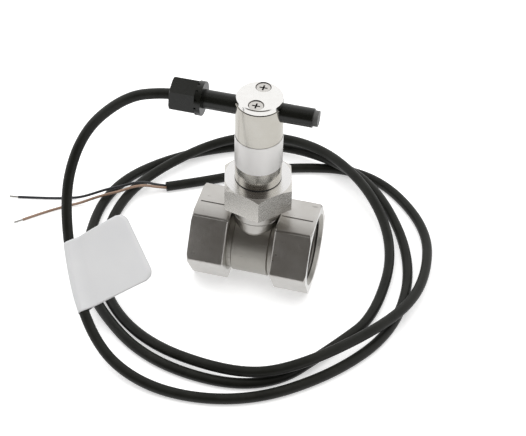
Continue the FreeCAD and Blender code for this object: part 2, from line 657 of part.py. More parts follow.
def make_blade():
    """A flat blade with round lower corners, on the upstream side of the lever."""
    body = new_body("blade_blank")
    sketch = new_sketch(body, "YZ_Plane", lift="-arm_thickness / 2 - blade_thickness")
    draw_rectangle(sketch, "-blade_width / 2", "blade_width / 2", "-blade_bottom", "-blade_top")
    add(body, "PartDesign::Pad", sketch, Length="blade_thickness")
    lowest = -size("blade_bottom") + 0.01
    fillet(body, "blade_corner", lambda edge: edge.BoundBox.XLength > size("blade_thickness") - 0.01
           and edge.BoundBox.ZMax < lowest)
    blade = body
    for number in range(2):
        blade = boolean("Cut", "drilled_blade", blade, rivet_shank(number, "rivet_hole", "seat_gap"))
    return place_on_pivot(name(blade, "paddle_blade"))


def make_rivets():
    rivets = []
    for number in range(2):
        shank = rivet_shank(number, "shank")
        level = f"-rivet_first - {number} * rivet_pitch"
        front = primitive("Cylinder", "front_head", Radius="rivet_head_radius", Height="rivet_head_height")
        place_along_x(front, "-arm_thickness / 2 - blade_thickness - rivet_head_height", z=level)
        back = primitive("Cylinder", "back_head", Radius="rivet_head_radius", Height="rivet_head_height")
        place_along_x(back, "arm_thickness / 2", z=level)
        rivets.append(boolean("Fuse", "rivet", boolean("Fuse", "half_rivet", shank, front), back))
    return place_on_pivot(compound("paddle_rivets", rivets))


def make_magnet_holder():
    cup = turned("cup_blank", (
        ("0", CUP_FOOT), ("cup_radius", CUP_FOOT), ("cup_radius", f"{CUP_FOOT} + cup_floor + magnet_length"),
        ("magnet_radius + seat_gap", f"{CUP_FOOT} + cup_floor + magnet_length"),
        ("magnet_radius + seat_gap", f"{CUP_FOOT} + cup_floor"), ("0", f"{CUP_FOOT} + cup_floor")))
    half = "(arm_thickness / 2 + seat_gap)"
    width = "(upper_arm_width / 2 + seat_gap)"
    slot = block("arm_slot", (f"-{half}", half), (f"-{width}", width), (f"{CUP_FOOT} - 1", UPPER_ARM_REACH))
    return place_on_pivot(boolean("Cut", "magnet_holder", cup, slot))


def make_lever_magnet():
    magnet = primitive("Cylinder", "magnet_blank", Radius="magnet_radius", Height="magnet_length")
    place(magnet, z=f"{CUP_FOOT} + cup_floor")
    return place_on_pivot(compound("lever_magnet", [magnet]))


def make_return_magnet():
    magnet = primitive("Cylinder", "return_magnet", Radius="magnet_radius", Height="return_magnet_length")
    level = f"{CEILING} + return_magnet_pocket - return_magnet_length"
    return place(magnet, x="return_magnet_offset", z=level)


# ---- reed contact in the cross tube ----

def make_tube():
    tube = turned("reed_tube", (
        ("tube_bore", "tube_left"), ("tube_radius", "tube_left"), ("tube_radius", "tube_right"),
        ("tube_bore", "tube_right")))
    return place_along_x(tube, z=TUBE_AXIS)


def make_end_plug():
    insert = "tube_bore - slip_gap"
    plug = turned("tube_end_plug", (
        ("0", "-plug_insert_length"), (insert, "-plug_insert_length"), (insert, "0"),
        ("plug_head_radius", "0"), ("plug_head_radius", "plug_head_length"), ("0", "plug_head_length")))
    return place_along_x(plug, x="tube_right", z=TUBE_AXIS)


def make_board():
    return block("reed_board", ("board_left", "board_left + board_length"),
                 ("-board_width / 2", "board_width / 2"), (f"{TUBE_AXIS} - board_drop", BOARD_TOP))


def make_capsule():
    """A closed glass tube, with a hole in each end wall for its lead."""
    half = "capsule_length / 2"
    room = "capsule_length / 2 - capsule_end"
    glass = primitive("Cylinder", "glass", Radius="capsule_radius", Height="capsule_length")
    place_along_x(glass, f"-{half}", z=f"{TUBE_AXIS} + capsule_rise")
    hollow = primitive("Cylinder", "hollow", Radius="capsule_bore", Height=f"2 * ({room})")
    place_along_x(hollow, f"-({room})", z=f"{TUBE_AXIS} + capsule_rise")
    capsule = boolean("Cut", "capsule_shell", glass, hollow)
    for side in ("-", ""):
        hole = primitive("Cylinder", "lead_hole", Radius="lead_radius + seat_gap", Height="capsule_end * 2")
        start = f"-{half} - capsule_end / 2" if side else f"{half} - capsule_end * 3 / 2"
        place_along_x(hole, start, z=f"{TUBE_AXIS} + capsule_rise - ({side}lead_offset)")
        capsule = boolean("Cut", "open_shell", capsule, hole)
    return name(capsule, "reed_capsule")


def make_contacts():
    """Two reeds that overlap in the glass, each bent down to the board outside it."""
    reeds = []
    for side in ("-", ""):
        level = f"{TUBE_AXIS} + capsule_rise - ({side}lead_offset)"
        reed = primitive("Cylinder", "reed", Radius="lead_radius", Height="lead_reach + reed_overlap / 2")
        start = "-lead_reach" if side else "-reed_overlap / 2"
        place_along_x(reed, start, z=level)
        leg = primitive("Cylinder", "leg", Radius="lead_radius", Height=f"{level} - {BOARD_TOP}")
        place(leg, x=f"{side}lead_reach", z=BOARD_TOP)
        knee = primitive("Sphere", "knee", Radius="lead_radius")
        place(knee, x=f"{side}lead_reach", z=level)
        reeds.append(boolean("Fuse", "contact", boolean("Fuse", "bent_lead", reed, leg), knee))
    return compound("reed_contacts", reeds)


# ---- cable gland ----

def make_gland_body():
    bore = "tube_radius + slip_gap"
    left = "collar_right - collar_width"
    passage = "cable_radius + slip_gap"
    body = turned("gland_body", (
        (bore, "collar_right"), ("collar_radius", "collar_right"), ("collar_radius", left),
        ("gland_thread_radius", left), ("gland_thread_radius", "gland_left"),
        ("seal_radius + slip_gap", "gland_left"), ("seal_radius + slip_gap", "gland_wall_left"),
        (passage, "gland_wall_left"), (passage, "tube_left - slip_gap"), (bore, "tube_left - slip_gap")))
    place_along_x(body, z=TUBE_AXIS)
    notch = new_sketch(body, "XY_Plane", lift=left)
    draw_rectangle(notch, "-collar_radius - 1", "notch_depth - collar_radius", "-notch_width / 2",
                   "notch_width / 2")
    first = cut(body, "PartDesign::Pocket", notch, Length="notch_length", Reversed=True)
    ring = body.newObject("PartDesign::PolarPattern", "Notches")
    ring.Originals = [first]
    ring.Axis = (notch, ["N_Axis"])
    ring.Angle = 360
    bind(ring, Occurrences="notch_count")
    body.Tip = ring
    return body


def make_seal():
    seal = turned("gland_seal", (
        ("cable_radius + seat_gap", "0"), ("seal_radius", "0"), ("seal_radius", "-seal_length"),
        ("cable_radius + seat_gap", "-seal_length")))
    return place_along_x(seal, x="gland_wall_left - slip_gap", z=TUBE_AXIS)


def make_nut():
    """A hexagonal nut, its outer end turned and chamfered."""
    body = new_body("gland_nut")
    place_along_x(body, z=TUBE_AXIS)
    hexagon = draw_hexagon(new_sketch(body, "XY_Plane", lift="nut_left"), "nut_flats", "30 + nut_turn")
    add(body, "PartDesign::Pad", hexagon, Length="nut_right - nut_left")
    end = new_sketch(body, "XZ_Plane")
    outside = "(nut_flats / 2 / cos(30) + 1)"
    draw_outline(end, (("nut_end_round", "nut_left"), (outside, "nut_left"),
                       (outside, f"nut_left + ({outside} - nut_end_round) * tan(40)")))
    cut(body, "PartDesign::Groove", end, ReferenceAxis="V_Axis", Angle="360")
    bore = new_sketch(body, "XZ_Plane")
    thread = "gland_thread_radius + slip_gap"
    passage = "cable_radius + slip_gap"
    draw_outline(bore, (("0", "nut_left"), (passage, "nut_left"), (passage, "nut_left + nut_wall"),
                        (thread, "nut_left + nut_wall"), (thread, "nut_right"), ("0", "nut_right")))
    cut(body, "PartDesign::Groove", bore, ReferenceAxis="V_Axis", Angle="360")
    return body


# ---- cable, cores and flag ----

def tangent_path(route):
    """Straight runs joined by tangent arcs, each as large as its two runs allow."""
    points = [Vector(*point) for point in route]
    edges = []
    radii = []
    start = points[0]
    for before, corner, after in zip(points, points[1:], points[2:]):
        arriving = (corner - before).normalize()
        leaving = (after - corner).normalize()
        reach = 0.45 * min((corner - before).Length, (after - corner).Length)
        turn = arriving.getAngle(leaving)
        radius = reach / math.tan(turn / 2)
        first = corner - arriving * reach
        last = corner + leaving * reach
        bisector = (leaving - arriving).normalize()
        middle = corner + bisector * (radius / math.cos(turn / 2) - radius)
        edges.append(Part.LineSegment(start, first).toShape())
        edges.append(Part.Arc(first, middle, last).toShape())
        radii.append(radius)
        start = last
    edges.append(Part.LineSegment(start, points[-1]).toShape())
    return Part.Wire(edges), radii


def sweep_route(name, route, radius):
    """A round cord along its route, with its volume compared with section times length."""
    path, radii = tangent_path(route)
    start = Vector(*route[0])
    heading = Vector(*route[1]) - start
    section = Part.Wire([Part.makeCircle(radius, start, heading)])
    solid = path.makePipeShell([section], True, False)
    expected = math.pi * radius ** 2 * path.Length
    print(f"{name}: length {path.Length:.1f}, least radius {min(radii):.1f}, "
          f"volume ratio {solid.Volume / expected:.4f}")
    print(f"  radii {[round(value, 1) for value in radii]}")
    return solid


def shaped(label, shape):
    item = doc.addObject("Part::Feature", label)
    item.Label = label
    item.Shape = shape
    return item


def make_cable():
    return shaped("cable", sweep_route("cable", CABLE_ROUTE, size("cable_radius")))


def make_core(label, route, side):
    """One core: its end inside the tube, and its length beyond the jacket."""
    start = CABLE_ROUTE[0][0]
    inner = primitive("Cylinder", "inner_core", Radius="core_radius", Height=f"core_end - ({start})")
    place_along_x(inner, str(start), f"{side}core_inset", f"{TUBE_AXIS} - core_drop")
    outer = shaped("outer_core", sweep_route(label, route, size("core_radius")))
    return compound(label, [inner, outer])


def make_core_tips():
    """The bare tinned ends of the two cores."""
    tips = []
    for route, tip in ((BLACK_ROUTE, BLACK_TIP), (BROWN_ROUTE, BROWN_TIP)):
        start = Vector(*route[-1])
        heading = Vector(*tip) - start
        tips.append(Part.makeCylinder(size("strand_radius"), heading.Length, start, heading))
    return shaped("core_tips", Part.makeCompound(tips))


def make_flag():
    """A blank paper flag, folded round the cable and glued to itself."""
    start = Vector(*CABLE_ROUTE[FLAG_RUN])
    along = (Vector(*CABLE_ROUTE[FLAG_RUN + 1]) - start).normalize()
    level = Vector(0.894, 0.18, 0.409)
    across = (level - along * level.dot(along)).normalize()
    normal = along.cross(across)

    bore = size("cable_radius + flag_sleeve_gap")
    thickness = size("flag_thickness")
    wall = thickness / 2
    root = bore + wall / 2
    first = size("flag_start")
    height = size("flag_height")
    lean = math.tan(math.radians(size("flag_skew")))
    reach = size("flag_short * cos(flag_skew)")
    outline = (
        (first, root), (first - reach * lean, reach),
        (first - reach * lean + height, reach + height * lean * 0.9), (first + height, root),
    )
    corners = [start + along * s + across * w - normal * wall for s, w in outline]
    plate = Part.Face(Part.makePolygon(corners + corners[:1])).extrude(normal * thickness)
    far_edges = [edge for edge in plate.Edges if edge.Length < 2 * thickness
                 and (edge.CenterOfMass - start).dot(across) > reach - 1]
    plate = plate.makeFillet(size("flag_corner"), far_edges)

    sleeve_start = start + along * (first + 0.5)
    length = size("flag_sleeve_length")
    outer = Part.makeCylinder(bore + wall, length, sleeve_start, along)
    inner = Part.makeCylinder(bore, length, sleeve_start, along)
    return shaped("cable_flag", plate.fuse(outer.cut(inner)))


PIECES = [
    make_tee(), make_branch_seal(), make_adapter(), make_housing(), make_housing_ring(), make_carrier(),
    make_pin(), make_return_magnet(), make_label(), make_cap(), make_cap_screws(),
    make_lever(), make_blade(), make_rivets(), make_magnet_holder(), make_lever_magnet(),
    make_tube(), make_end_plug(), make_board(), make_capsule(), make_contacts(),
    make_gland_body(), make_seal(), make_nut(), make_cable(),
    make_core("core_black", BLACK_ROUTE, "-"), make_core("core_brown", BROWN_ROUTE, ""),
    make_core_tips(), make_flag(),
]

doc.recompute()
for item in doc.Objects:
    if "Invalid" in item.State or "Error" in item.State:
        raise ValueError(f"{item.Label} failed: {item.State}")
    if item.isDerivedFrom("Sketcher::SketchObject") and item.solve() != 0:
        raise ValueError(f"{item.Label} doesn't solve")

os.makedirs("parts", exist_ok=True)
for piece in PIECES:
    if piece.Shape.isNull() or not piece.Shape.isValid() or not piece.Shape.Solids:
        raise ValueError(f"{piece.Label} has no valid solid")
for piece in PIECES:
    piece.Shape.exportStep(f"parts/{piece.Label}.step")
    box = piece.Shape.BoundBox
    print(f"{piece.Label}: {len(piece.Shape.Solids)} solid(s), {piece.Shape.Volume:.1f} mm3, "
          f"x {box.XMin:.2f}..{box.XMax:.2f} y {box.YMin:.2f}..{box.YMax:.2f} "
          f"z {box.ZMin:.2f}..{box.ZMax:.2f}")
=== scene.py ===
import json
import math

import bpy
from mathutils import Matrix, Vector


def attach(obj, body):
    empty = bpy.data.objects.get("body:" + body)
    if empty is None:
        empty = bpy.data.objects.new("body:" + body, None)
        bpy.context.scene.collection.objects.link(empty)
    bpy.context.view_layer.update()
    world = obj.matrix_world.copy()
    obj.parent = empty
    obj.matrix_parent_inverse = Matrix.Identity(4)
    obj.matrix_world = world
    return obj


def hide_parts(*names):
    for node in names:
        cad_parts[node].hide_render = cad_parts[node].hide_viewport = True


# The paddle flow switch as it lies on a white studio table, with its lead laid in loose turns round it.
# Metres, in the frame of the CAD part: +X is the flow direction, +Z the branch axis, Z = 0 the table.

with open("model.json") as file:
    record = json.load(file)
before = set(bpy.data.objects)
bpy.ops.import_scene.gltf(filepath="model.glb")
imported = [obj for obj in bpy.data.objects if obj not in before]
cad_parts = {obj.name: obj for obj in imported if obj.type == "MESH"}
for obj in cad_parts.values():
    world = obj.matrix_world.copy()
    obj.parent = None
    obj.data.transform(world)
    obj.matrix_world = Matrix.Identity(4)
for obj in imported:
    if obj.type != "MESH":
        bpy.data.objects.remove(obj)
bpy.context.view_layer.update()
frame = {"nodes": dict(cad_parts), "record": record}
NODES = frame["nodes"]

MM = 0.001
PIPE_AXIS = 19 * MM
THREAD_PITCH = 2.309 * MM
SCREW_PLACE = 6.34 * MM
ADAPTER_TOP = 0.0583

# The camera's right, up and back directions, its place and its lens.
CAMERA_AXES = (
    (0.96854177, 0.24819105, 0.01811187),
    (-0.18538628, 0.67106711, 0.7178446),
    (0.16600832, -0.69862017, 0.69596774),
)
CAMERA_PLACE = (0.107958, -0.442912, 0.474077)
CAMERA_LENS = 94.38
CAMERA_SENSOR = 36

# The control points of the lead's centre line, in millimetres, the same as in the part's source.
CABLE_ROUTE = (
    (-31, 0, 97.34), (-42, 0, 97.34), (-61, -2, 92), (-82, -6, 68), (-84, -28, 42.5),
    (-60.5, -69.5, 9.5), (-28.5, -87, 2.45), (15, -83.5, 2.45), (50, -57.5, 2.45), (72, -24, 2.45),
    (72, 20, 2.45), (49, 58, 8), (22, 75, 8.8), (-16, 86, 2.45), (-59.5, 64, 2.45), (-85.5, 31, 2.45),
    (-81.5, -16.5, 2.45), (-66.5, -44.5, 2.45), (-30, -73, 2.45), (22.5, -75, 2.45), (48.5, -39, 2.45),
    (61, -18.5, 2.45), (62.5, 24, 5), (42, 56, 14), (7.5, 81, 13.5),
    (-34, 80, 9), (-67, 45, 5), (-77.5, 15, 2.45), (-70, -30, 2.45), (-39.5, -62, 4),
    (7, -72, 6.5), (34, -64.5, 9.5), (70.5, -25, 9), (80.5, 7, 5.5), (74.5, 47, 2.45),
    (39.5, 79, 2.45), (-5.5, 69.5, 2.45), (-38.5, 49, 2.45), (-57, 39.5, 2.45),
)
# The same for the two cores, from the cut end of the jacket.
BLACK_ROUTE = (
    (-57.34, 40.17, 2.45), (-61.8, 37.9, 4.1), (-66, 35.6, 6.8), (-71, 32.6, 8),
    (-77, 28.8, 7.3), (-83.5, 25.2, 6.9), (-89.5, 22.9, 4.6), (-96, 21.2, 1.9),
    (-104, 19.6, 0.7), (-114, 17, 0.7), (-126.4, 14.4, 0.7),
)
BROWN_ROUTE = (
    (-56.66, 38.83, 2.45), (-61.2, 36.4, 3.9), (-65.6, 33.6, 6.6), (-70.8, 29.8, 7.9),
    (-76.8, 25.2, 7), (-82.6, 21.6, 6.8), (-88.6, 19.8, 4.4), (-94.6, 17.6, 1.7),
    (-102, 14, 0.7), (-110.6, 7, 0.7), (-118.3, -0.2, 0.7),
)
CABLE_RADIUS = 2.4 * MM
CORE_RADIUS = 0.65 * MM
CORD_ROUNDNESS = 6
CORD_FINENESS = 16
CORD_ORDER = 3

# The flag, in millimetres. It is on the run of the lead that starts at point FLAG_RUN of the route. Places
# along it are measured from the run's middle: the near edge is given by its two ends, and the far edge by
# its two corners, each with its distance across as well.
FLAG_RUN = 4
FLAG_NEAR = (-13.3, 19.0)
FLAG_FAR = ((-20.14, 29.9), (11.96, 38.4))
FLAG_LENGTH = 32
FLAG_ROUND = 4.6
FLAG_LEVEL = Vector((0.894, 0.18, 0.409))
FLAG_CURL = 0.55
FLAG_JOINT = 5.4
WRAP_GAP = 0.2
LAYER_GAP = 0.07
FILM = 0.1 * MM
FLAG_ROWS = 41
LAYER_STEPS = 12
WRAP_STEPS = 24
SPLINE_STEPS = 60

# The studio: the table's own light, how white polished surfaces mirror it, and the room by direction.
FLOOR_SIZE = 6
FLOOR_GLOW = 0.5
MIRRORED_WHITE = 0.85
DARK_SIDE = Vector((0.08, -0.90, 0.43))
DARK_EDGE = (0.45, 0.72)
OVERHEAD_EDGE = (0.72, 0.95)
ROOM_ROUND = (1.0, 1.0, 1.0)
ROOM_OVERHEAD = (0.44, 0.43, 0.42)
ROOM_UNLIT = (0.078, 0.071, 0.064)
LAMP_PLACE = Vector((-0.1, -0.1, 1.1))
LAMP_TARGET = Vector((0, 0, 0.03))
LAMP_SIZE = (1.1, 0.9)
LAMP_POWER = 8

# Soft edges of the finishes, in metres: where a finish is absent, and then where it is full. On the tee,
# REACH is the distance from its middle along the pipe axis, and ROUND the distance from that axis.
WAIST_REACH, WAIST_ROUND = (0.0134, 0.0124), (0.0171, 0.0167)
PAD_REACH, PAD_ROUND = (0.0074, 0.0069), (0.01628, 0.01640)
PAD_FRONT, PAD_TOP = (-0.006, -0.0075), (0.021, 0.020)
BORE_REACH, BORE_ROUND = (0.0128, 0.0132), (0.01705, 0.01690)
PORT_REACH, PORT_ROUND = (0.0130, 0.0134), (0.01535, 0.0152)
FACE_REACH = (0.02790, 0.02797)
FLAT_TOP = (0.0372, 0.0376)
SINK_ROUND, SINK_TOP = (0.00352, 0.00345), (0.10419, 0.10414)
CROSS_WIDTH, CROSS_LENGTH = (0.00042, 0.00034), (0.00185, 0.0017)
SCREW_FLANK = (0.10376, 0.10370)

# Heights given by bump: the threads, in metres, and the crown of the top flats, for each square metre from
# the middle line.
THREAD_BUMP = 0.0011
FLAT_CROWN = -9.0


# ---- camera ----

def add_camera():
    """The photograph's view: from the front, a little to the right, looking 44 degrees down."""
    data = bpy.data.cameras.new("camera")
    data.lens = CAMERA_LENS
    data.sensor_width = CAMERA_SENSOR
    data.clip_start = 0.01
    camera = bpy.data.objects.new("camera", data)
    turn = Matrix(CAMERA_AXES).transposed().to_4x4()
    camera.matrix_world = Matrix.Translation(CAMERA_PLACE) @ turn
    bpy.context.collection.objects.link(camera)
    bpy.context.scene.camera = camera


# ---- nodes of materials and the world ----

class Graph:
    """Short calls for building the nodes of one material or of the world."""

    def __init__(self, owner):
        owner.use_nodes = True
        self.owner = owner
        self.nodes = owner.node_tree.nodes
        self.links = owner.node_tree.links
        self.shader = self.nodes.get("Principled BSDF")

    def add(self, kind, **settings):
        node = self.nodes.new(kind)
        for name, value in settings.items():
            setattr(node, name, value)
        return node

    def feed(self, socket, value):
        """A number is set on the socket, a tuple is set as a colour, and anything else is linked to it."""
        if isinstance(value, (int, float)):
            socket.default_value = value
        elif isinstance(value, tuple):
            socket.default_value = (*value, 1)
        else:
            self.links.new(value, socket)

    def math(self, operation, *values):
        node = self.add("ShaderNodeMath", operation=operation)
        for socket, value in zip(node.inputs, values):
            self.feed(socket, value)
        return node.outputs["Value"]

    def times(self, *values):
        product = values[0]
        for value in values[1:]:
            product = self.math("MULTIPLY", product, value)
        return product

    def length(self, across, up):
        """Length of a vector from its two parts."""
        squares = self.math("ADD", self.times(across, across), self.times(up, up))
        return self.math("SQRT", squares)

    def vector(self, x, y, z):
        node = self.add("ShaderNodeCombineXYZ")
        for socket, value in zip(node.inputs, (x, y, z)):
            self.feed(socket, value)
        return node.outputs["Vector"]

    def parts(self, output="Object"):
        """The three parts of a coordinate: the place in metres, or the Normal or Generated direction."""
        split = self.add("ShaderNodeSeparateXYZ")
        self.links.new(self.add("ShaderNodeTexCoord").outputs[output], split.inputs["Vector"])
        return split.outputs["X"], split.outputs["Y"], split.outputs["Z"]

    def ramp(self, value, limits, results, **settings):
        """A value between two limits, spread over two results and held outside them."""
        node = self.add("ShaderNodeMapRange", **settings)
        self.feed(node.inputs["Value"], value)
        for end, limit, result in zip(("Min", "Max"), limits, results):
            node.inputs[f"From {end}"].default_value = limit
            node.inputs[f"To {end}"].default_value = result
        return node.outputs["Result"]

    def edge(self, value, absent, full):
        """0 at the absent end, 1 at the full end, smooth between and held beyond; either may be the lower."""
        results = (0, 1) if absent < full else (1, 0)
        return self.ramp(value, sorted((absent, full)), results, interpolation_type="SMOOTHSTEP")

    def spread(self, noise, low=0, high=1):
        """The middle of a noise, from 0.3 to 0.7, spread from low to high."""
        return self.ramp(noise, (0.3, 0.7), (low, high))

    def noise(self, scale, detail=4, roughness=0.6, stretch=(1, 1, 1), vector=None):
        """Noise over object coordinates in metres, or over another vector."""
        node = self.add("ShaderNodeTexNoise")
        node.inputs["Scale"].default_value = scale
        node.inputs["Detail"].default_value = detail
        node.inputs["Roughness"].default_value = roughness
        if vector is None:
            mapping = self.add("ShaderNodeMapping")
            mapping.inputs["Scale"].default_value = stretch
            self.links.new(self.add("ShaderNodeTexCoord").outputs["Object"], mapping.inputs["Vector"])
            vector = mapping.outputs["Vector"]
        self.links.new(vector, node.inputs["Vector"])
        return node.outputs["Fac"]

    def blend(self, factor, low, high):
        """Two colours, each a tuple or an output, mixed by a factor."""
        node = self.add("ShaderNodeMix", data_type="RGBA")
        for place, value in ((0, factor), (6, low), (7, high)):
            self.feed(node.inputs[place], value)
        return node.outputs[2]

    def bump(self, height, distance, strength=1.0, below=None):
        """Raise the surface by a height, in metres when the distance is 1."""
        node = self.add("ShaderNodeBump")
        node.inputs["Strength"].default_value = strength
        node.inputs["Distance"].default_value = distance
        self.links.new(height, node.inputs["Height"])
        if below is not None:
            self.links.new(below, node.inputs["Normal"])
        return node.outputs["Normal"]

    def glow(self, strength):
        """White light of its own."""
        node = self.add("ShaderNodeEmission")
        self.feed(node.inputs["Color"], (1, 1, 1))
        self.feed(node.inputs["Strength"], strength)
        return node.outputs["Emission"]

    def choose(self, factor, low, high):
        """Two shaders mixed by a factor."""
        node = self.add("ShaderNodeMixShader")
        for place, value in enumerate((factor, low, high)):
            self.feed(node.inputs[place], value)
        return node.outputs["Shader"]

    def finish(self, colour, roughness, normal, **values):
        """Link the three main outputs, and set plain values, with underscores for spaces."""
        for name, value in (("Base Color", colour), ("Roughness", roughness), ("Normal", normal)):
            self.feed(self.shader.inputs[name], value)
        for name, value in values.items():
            self.feed(self.shader.inputs[name.replace("_", " ")], value)
        return self.owner


def new_graph(name):
    return Graph(bpy.data.materials.new(name))


# ---- materials ----

def cast_stainless():
    """Blasted investment casting with machined ends and threaded ports."""
    graph = new_graph("cast_stainless")
    x, y, z = graph.parts()
    reach = graph.math("ABSOLUTE", x)
    lift = graph.math("SUBTRACT", z, PIPE_AXIS)
    radius = graph.length(y, lift)

    colour = graph.blend(graph.spread(graph.noise(75, 5, 0.6)), (0.57, 0.55, 0.52), (0.66, 0.645, 0.62))
    pits = graph.edge(graph.noise(330, 5, 0.72, (0.3, 1.5, 1.5)), 0.335, 0.30)
    colour = graph.blend(pits, colour, (0.24, 0.22, 0.20))
    waist = graph.times(graph.edge(reach, *WAIST_REACH), graph.edge(radius, *WAIST_ROUND))
    rough = graph.spread(graph.noise(420, 5, 0.65), 0.27, 0.37)
    rough = graph.math("ADD", rough, graph.times(waist, 0.12))

    # The top flats fall away towards their edges, as on castings.
    crown = graph.times(graph.edge(z, *FLAT_TOP), graph.times(y, y), FLAT_CROWN)
    normal = graph.bump(crown, 1.0)
    normal = graph.bump(graph.noise(2300, 3, 0.7), 0.00006, 0.35, normal)
    normal = graph.bump(pits, -0.00012, 0.6, normal)

    # The coarser finish of the blank pad, where the photograph has it: on the front, from just above the pipe
    # axis down. The part's pad is at the back, so nothing takes this finish until the part is mended.
    pad = graph.times(graph.edge(radius, *PAD_ROUND), graph.edge(reach, *PAD_REACH),
                      graph.edge(y, *PAD_FRONT), graph.edge(z, *PAD_TOP))
    lumps = graph.noise(560, 3, 0.6)
    normal = graph.bump(graph.times(pad, lumps), 0.0022, 1.0, normal)
    # Painted shade: the hollows between the lumps are drawn darker.
    colour = graph.blend(graph.times(pad, graph.edge(lumps, 0.5, 0.36)), colour, (0.26, 0.245, 0.22))

    # Painted shade inside the ports: the metal there is drawn darker.
    bore_shade = graph.times(graph.edge(radius, *BORE_ROUND), graph.edge(reach, *BORE_REACH))
    colour = graph.blend(bore_shade, colour, (0.40, 0.385, 0.355))

    # The threads in both ports: a crest once in each pitch along the axis, moved on by the turn round it.
    port = graph.times(graph.edge(radius, *PORT_ROUND), graph.edge(reach, *PORT_REACH))
    turn = graph.math("DIVIDE", graph.math("ARCTAN2", lift, y), 2 * math.pi)
    phase = graph.math("PINGPONG", graph.math("ADD", graph.math("DIVIDE", x, THREAD_PITCH), turn), 0.5)
    crest = graph.edge(phase, 0.05, 0.4)
    normal = graph.bump(graph.times(port, crest), THREAD_BUMP, 1.0, normal)
    # Painted shade inside the ports: the thread roots are drawn near black and the crests darker than the
    # flats.
    thread_shade = graph.blend(crest, (0.10, 0.095, 0.085), (0.46, 0.44, 0.41))
    colour = graph.blend(port, colour, thread_shade)

    # The waist is duller by the roughness above, and painted darker than the ground flats as shade between
    # the blocks.
    colour = graph.blend(graph.times(waist, 0.75), colour, (0.36, 0.345, 0.31))

    # Turned end faces.
    colour = graph.blend(graph.edge(reach, *FACE_REACH), colour, (0.86, 0.85, 0.83))
    return graph.finish(colour, rough, normal, Metallic=1.0)


def turned_steel(name, low, high, rough, marks, top=None, top_level=1.0):
    """A turned surface with fine rings round Z, and a brighter finish on what faces up at one level."""
    graph = new_graph(name)
    x, y, z = graph.parts()
    radius = graph.length(x, y)
    rings = graph.noise(1500, 2, 0.5, vector=graph.vector(radius, z, 0))
    broad = graph.noise(320, 3, 0.6, vector=graph.vector(radius, z, 0))
    colour = graph.blend(graph.spread(graph.noise(55, 4, 0.6)), low, high)
    if top:
        upward = graph.edge(graph.parts("Normal")[2], 0.8, 0.95)
        level = graph.edge(z, top_level - 0.0002, top_level)
        colour = graph.blend(graph.times(upward, level), colour, top)
    normal = graph.bump(rings, 0.000012, marks)
    normal = graph.bump(broad, 0.00002, marks, normal)
    return graph.finish(colour, graph.spread(rings, *rough), normal, Metallic=1.0)


def polished_cap():
    """Polished nickel plate, with painted shade in the two countersinks."""
    graph = new_graph("polished_cap")
    x, y, z = graph.parts()
    from_screw = graph.length(x, graph.math("SUBTRACT", graph.math("ABSOLUTE", y), SCREW_PLACE))
    smears = graph.noise(420, 4, 0.6)
    colour = graph.blend(graph.spread(smears), (0.90, 0.885, 0.86), (0.95, 0.94, 0.92))
    countersink_shade = graph.times(graph.edge(from_screw, *SINK_ROUND), graph.edge(z, *SINK_TOP))
    # Painted shade: the countersinks round the screw heads are drawn near black.
    colour = graph.blend(countersink_shade, colour, (0.10, 0.09, 0.08))
    normal = graph.bump(graph.noise(900, 4, 0.6), 0.000012, 0.5)
    return graph.finish(colour, graph.spread(smears, 0.08, 0.16), normal, Metallic=1.0)


def screw_steel():
    """Plated screws with a polished face, and painted shade round the cross and on the flank."""
    graph = new_graph("screw_steel")
    x, y, z = graph.parts()
    along = graph.math("ABSOLUTE", x)
    aside = graph.math("ABSOLUTE", graph.math("SUBTRACT", graph.math("ABSOLUTE", y), SCREW_PLACE))
    cross = graph.times(graph.edge(graph.math("MINIMUM", along, aside), *CROSS_WIDTH),
                        graph.edge(graph.math("MAXIMUM", along, aside), *CROSS_LENGTH))
    grain = graph.noise(1800, 4, 0.6)
    colour = graph.blend(graph.spread(grain), (0.62, 0.60, 0.57), (0.74, 0.72, 0.69))
    # Painted shade in the cross recess and on the flank down in the countersink.
    painted_shade = graph.math("MAXIMUM", cross, graph.edge(z, *SCREW_FLANK))
    colour = graph.blend(painted_shade, colour, (0.05, 0.045, 0.04))
    normal = graph.bump(grain, 0.00002, 0.4)
    return graph.finish(colour, graph.spread(grain, 0.16, 0.28), normal, Metallic=1.0)


def label_foil():
    """Smooth silver-white foil, with only a broad unevenness from being stuck on by hand."""
    graph = new_graph("label_foil")
    waves = graph.noise(70, 2, 0.4)
    colour = graph.blend(graph.spread(waves), (0.80, 0.785, 0.765), (0.87, 0.855, 0.84))
    normal = graph.bump(waves, 0.00002, 0.4)
    return graph.finish(colour, graph.spread(waves, 0.25, 0.31), normal, Metallic=0.8)


def plain(name, low, high, rough, scale=900, height=0.00003, stretch=(1, 1, 1), **values):
    """A surface whose roughness and height vary with a fine grain, and its colour with broader patches."""
    graph = new_graph(name)
    grain = graph.noise(scale, 5, 0.62, stretch)
    patches = graph.noise(scale / 11, 4, 0.55)
    colour = graph.blend(graph.spread(patches), low, high)
    normal = graph.bump(grain, height, 0.6)
    return graph.finish(colour, graph.spread(grain, *rough), normal, **values)


